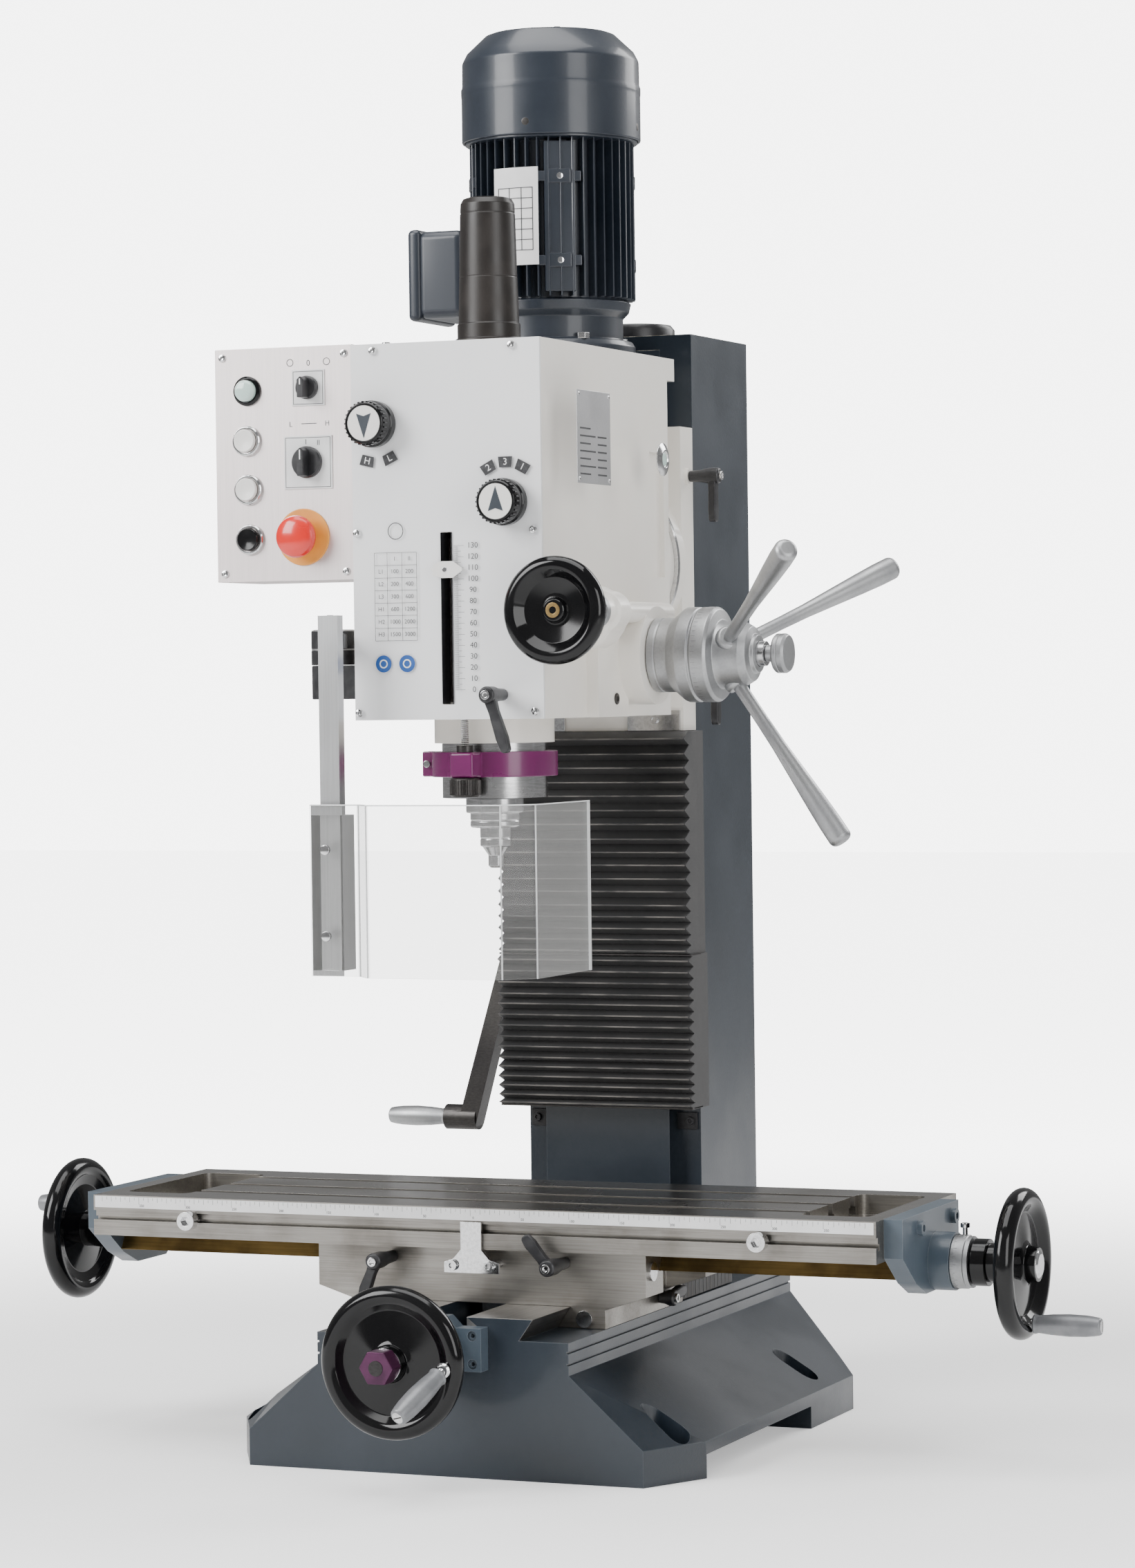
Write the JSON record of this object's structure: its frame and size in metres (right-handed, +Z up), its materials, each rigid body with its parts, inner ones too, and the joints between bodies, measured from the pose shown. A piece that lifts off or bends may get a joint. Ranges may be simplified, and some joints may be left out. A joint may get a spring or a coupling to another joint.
{
  "type": "vertical milling machine",
  "caption": "Bench vertical mill: dovetail column, cross-slide table with T-slots, tilting gear head, capstan quill feed, motor on top, chip guard and control box.",
  "frame": {"origin": "on the underside of the base, on the centre plane, below the front face of the column", "axes": "+X to the operator's right along the table, +Y from the operator towards the column, +Z up"},
  "size_m": [1.1316, 0.7841, 1.367],
  "materials": {
    "painted_base": "painted satin",
    "cast_iron_machined": "machined",
    "cream_paint": "satin",
    "steel": "ground",
    "chrome": "polished",
    "aluminium": "brushed",
    "black_handle": "gloss",
    "black_matte": "matte",
    "bellows_rubber": "matte",
    "bracket_paint": "satin",
    "bronze": "machined",
    "grip_grey": "satin",
    "plate_light": "satin",
    "panel_alu": "brushed",
    "motor_paint": "satin",
    "cap_brown": "satin",
    "purple_paint": "satin",
    "white_plastic": "gloss",
    "red_plastic": "gloss",
    "clear_guard": "clear"
  },
  "bodies": {
    "frame": {"base_casting": "painted_base", "column_casting": "painted_base", "column_fittings": "black_matte", "y_screw_bracket": "bracket_paint", "y_way_cover": "bellows_rubber", "z_bellows": "bellows_rubber"},
    "saddle": {"saddle": "cast_iron_machined", "saddle_fittings": "bronze"},
    "x_lock_left": {"x_lock_left": "black_handle"},
    "x_lock_right": {"x_lock_right": "black_handle"},
    "y_lock": {"y_lock": "black_handle"},
    "table": {"table": "cast_iron_machined", "table_fittings": "steel", "x_brackets": "bracket_paint"},
    "x_screw": {"x_screw": "steel", "x_handwheels": "black_handle"},
    "x_dial": {"x_dial": "aluminium"},
    "x_grip_right": {"x_grip_right": "grip_grey"},
    "x_grip_left": {"x_grip_left": "grip_grey"},
    "y_screw": {"y_screw": "steel", "y_handwheel": "black_handle"},
    "y_dial": {"y_dial": "aluminium"},
    "y_grip": {"y_grip": "grip_grey"},
    "z_screw": {"z_screw": "steel"},
    "z_crank": {"z_crank": "steel"},
    "z_crank_grip": {"z_crank_grip": "grip_grey"},
    "z_slide": {"z_slide": "cream_paint", "z_slide_fittings": "steel"},
    "z_lock_upper": {"z_lock_upper": "black_handle"},
    "z_lock_lower": {"z_lock_lower": "black_handle"},
    "head": {"head_casting": "cream_paint", "head_cover": "cream_paint", "front_plate": "plate_light", "motor": "motor_paint", "motor_covers": "motor_paint", "control_box": "panel_alu", "panel_fittings": "chrome", "guard_hinge": "black_matte"},
    "drawbar_cap": {"drawbar_cap": "cap_brown"},
    "motor_rotor": {"motor_rotor": "steel"},
    "countershaft": {"countershaft": "steel"},
    "spindle_gear": {"spindle_gear": "steel"},
    "quill": {"quill": "steel", "quill_ring": "purple_paint"},
    "spindle": {"spindle": "chrome"},
    "capstan": {"capstan": "aluminium", "capstan_handles": "black_handle"},
    "clutch_knob": {"clutch_knob": "black_handle"},
    "feed_wheel": {"feed_wheel": "black_handle"},
    "range_knob": {"range_knob": "black_handle"},
    "speed_knob": {"speed_knob": "black_handle"},
    "quill_lock": {"quill_lock": "black_handle"},
    "button_upper": {"button_upper": "white_plastic"},
    "button_middle": {"button_middle": "white_plastic"},
    "button_lower": {"button_lower": "black_matte"},
    "stop_button": {"stop_button": "red_plastic"},
    "selector_small": {"selector_small": "black_matte"},
    "selector_large": {"selector_large": "black_matte"},
    "guard_arm": {"guard_arm": "aluminium"},
    "guard_screen": {"guard_screen": "clear_guard"}
  },
  "joints": [
    {"name": "y_screw_turn", "type": "hinge", "parent": "frame", "child": "y_screw", "pos_m": [0, -0.5, 0.121], "axis": [0, -1, 0], "range_deg": [-6120, 5400]},
    {"name": "saddle_slide", "type": "slide", "parent": "frame", "child": "saddle", "axis": [0, 1, 0], "range_m": [-0.085, 0.075], "deforming": ["y_way_cover"]},
    {"name": "y_dial_turn", "type": "hinge", "parent": "y_screw", "child": "y_dial", "pos_m": [0, -0.48, 0.121], "axis": [0, -1, 0], "continuous": true},
    {"name": "y_grip_spin", "type": "hinge", "parent": "y_screw", "child": "y_grip", "pos_m": [0.05492, -0.554, 0.11812], "axis": [-0.2434, -0.8487, -0.4695], "continuous": true},
    {"name": "y_lock_turn", "type": "hinge", "parent": "saddle", "child": "y_lock", "pos_m": [0.127, -0.205, 0.141], "axis": [1, 0, 0], "range_deg": [-50, 0]},
    {"name": "x_screw_turn", "type": "hinge", "parent": "table", "child": "x_screw", "pos_m": [0, -0.245, 0.192], "axis": [1, 0, 0], "range_deg": [-14400, 16200]},
    {"name": "table_slide", "type": "slide", "parent": "saddle", "child": "table", "axis": [1, 0, 0], "range_m": [-0.2, 0.225]},
    {"name": "x_dial_turn", "type": "hinge", "parent": "x_screw", "child": "x_dial", "pos_m": [0.447, -0.245, 0.192], "axis": [1, 0, 0], "continuous": true},
    {"name": "x_grip_right_spin", "type": "hinge", "parent": "x_screw", "child": "x_grip_right", "pos_m": [0.511, -0.245, 0.137], "axis": [1, 0, 0], "continuous": true},
    {"name": "x_grip_left_spin", "type": "hinge", "parent": "x_screw", "child": "x_grip_left", "pos_m": [-0.49, -0.19269, 0.209], "axis": [1, 0, 0], "continuous": true},
    {"name": "x_lock_left_turn", "type": "hinge", "parent": "saddle", "child": "x_lock_left", "pos_m": [-0.09, -0.345, 0.19], "axis": [0, -1, 0], "range_deg": [-35, 35]},
    {"name": "x_lock_right_turn", "type": "hinge", "parent": "saddle", "child": "x_lock_right", "pos_m": [0.087, -0.345, 0.19], "axis": [0, -1, 0], "range_deg": [-35, 35]},
    {"name": "z_crank_turn", "type": "hinge", "parent": "frame", "child": "z_crank", "pos_m": [-0.12, 0.04, 0.5], "axis": [-1, 0, 0], "range_deg": [-13680, 3600]},
    {"name": "z_screw_turn", "type": "hinge", "parent": "frame", "child": "z_screw", "pos_m": [0, 0.04, 0.5], "axis": [0, 0, -1], "range_deg": [-13680, 3600]},
    {"name": "z_travel", "type": "slide", "parent": "frame", "child": "z_slide", "axis": [0, 0, 1], "range_m": [-0.19, 0.05], "deforming": ["z_bellows"]},
    {"name": "z_crank_grip_spin", "type": "hinge", "parent": "z_crank", "child": "z_crank_grip", "pos_m": [-0.203, 0.04, 0.284], "axis": [1, 0, 0], "continuous": true},
    {"name": "z_lock_upper_turn", "type": "hinge", "parent": "z_slide", "child": "z_lock_upper", "pos_m": [0.1, -0.016, 0.936], "axis": [1, 0, 0], "range_deg": [-35, 35]},
    {"name": "z_lock_lower_turn", "type": "hinge", "parent": "z_slide", "child": "z_lock_lower", "pos_m": [0.1, -0.016, 0.734], "axis": [1, 0, 0], "range_deg": [-35, 35]},
    {"name": "head_tilt", "type": "hinge", "parent": "z_slide", "child": "head", "pos_m": [0, -0.06, 0.848], "axis": [0, 1, 0], "range_deg": [-45, 45]},
    {"name": "drawbar_cap_lift", "type": "slide", "parent": "head", "child": "drawbar_cap", "axis": [0, 0, 1], "range_m": [0, 0.15]},
    {"name": "spindle_spin", "type": "hinge", "parent": "quill", "child": "spindle", "pos_m": [0, -0.293, 0.6], "axis": [0, 0, 1], "continuous": true},
    {"name": "spindle_gear_spin", "type": "hinge", "parent": "head", "child": "spindle_gear", "pos_m": [0, -0.293, 0.94], "axis": [0, 0, 1], "continuous": true},
    {"name": "countershaft_spin", "type": "hinge", "parent": "head", "child": "countershaft", "pos_m": [0, -0.193, 0.94], "axis": [0, 0, 1], "continuous": true},
    {"name": "motor_spin", "type": "hinge", "parent": "head", "child": "motor_rotor", "pos_m": [0, -0.133, 0.94], "axis": [0, 0, 1], "continuous": true},
    {"name": "capstan_turn", "type": "hinge", "parent": "head", "child": "capstan", "pos_m": [0.1, -0.197, 0.757], "axis": [-1, 0, 0], "range_deg": [-185, 0]},
    {"name": "quill_feed", "type": "slide", "parent": "head", "child": "quill", "axis": [0, 0, 1], "range_m": [-0.11, 0]},
    {"name": "clutch_pull", "type": "slide", "parent": "capstan", "child": "clutch_knob", "axis": [1, 0, 0], "range_m": [0, 0.006]},
    {"name": "feed_wheel_turn", "type": "hinge", "parent": "head", "child": "feed_wheel", "pos_m": [0.12, -0.4, 0.798], "axis": [0, 1, 0], "continuous": true},
    {"name": "range_knob_turn", "type": "hinge", "parent": "head", "child": "range_knob", "pos_m": [-0.071, -0.4, 0.975], "axis": [0, -1, 0], "range_deg": [0, 60]},
    {"name": "speed_knob_turn", "type": "hinge", "parent": "head", "child": "speed_knob", "pos_m": [0.061, -0.4, 0.899], "axis": [0, -1, 0], "range_deg": [-35, 35]},
    {"name": "quill_lock_turn", "type": "hinge", "parent": "head", "child": "quill_lock", "pos_m": [0.055, -0.399, 0.7215], "axis": [0, -1, 0], "range_deg": [-30, 40]},
    {"name": "button_upper_press", "type": "slide", "parent": "head", "child": "button_upper", "axis": [0, 1, 0], "range_m": [0, 0.003], "stiffness_N_per_m": 300, "springref_m": -0.002},
    {"name": "button_middle_press", "type": "slide", "parent": "head", "child": "button_middle", "axis": [0, 1, 0], "range_m": [0, 0.003], "stiffness_N_per_m": 300, "springref_m": -0.002},
    {"name": "button_lower_press", "type": "slide", "parent": "head", "child": "button_lower", "axis": [0, 1, 0], "range_m": [0, 0.003], "stiffness_N_per_m": 300, "springref_m": -0.002},
    {"name": "stop_button_press", "type": "slide", "parent": "head", "child": "stop_button", "axis": [0, 1, 0], "range_m": [0, 0.005], "stiffness_N_per_m": 600, "springref_m": -0.002},
    {"name": "selector_small_turn", "type": "hinge", "parent": "head", "child": "selector_small", "pos_m": [-0.141, -0.397, 1.012], "axis": [0, -1, 0], "range_deg": [-45, 45]},
    {"name": "selector_large_turn", "type": "hinge", "parent": "head", "child": "selector_large", "pos_m": [-0.142, -0.397, 0.942], "axis": [0, -1, 0], "range_deg": [-60, 60]},
    {"name": "guard_swing", "type": "hinge", "parent": "head", "child": "guard_arm", "pos_m": [-0.126, -0.38, 0.75], "axis": [0, 0, -1], "range_deg": [0, 95]},
    {"name": "guard_height", "type": "slide", "parent": "guard_arm", "child": "guard_screen", "axis": [0, 0, -1], "range_m": [-0.04, 0.06]}
  ],
  "couplings": [
    {"joint": "y_screw_turn", "follows": "saddle_slide", "rad_per_m": 1256.6},
    {"joint": "x_screw_turn", "follows": "table_slide", "rad_per_m": 1256.6},
    {"joint": "z_screw_turn", "follows": "z_crank_turn", "ratio": 1},
    {"joint": "z_travel", "follows": "z_crank_turn", "m_per_rad": 0.00079577},
    {"joint": "spindle_gear_spin", "follows": "spindle_spin", "ratio": 1},
    {"joint": "countershaft_spin", "follows": "spindle_spin", "ratio": -1.8571},
    {"joint": "motor_spin", "follows": "spindle_spin", "ratio": 2.6},
    {"joint": "quill_feed", "follows": "capstan_turn", "m_per_rad": 0.034}
  ]
}
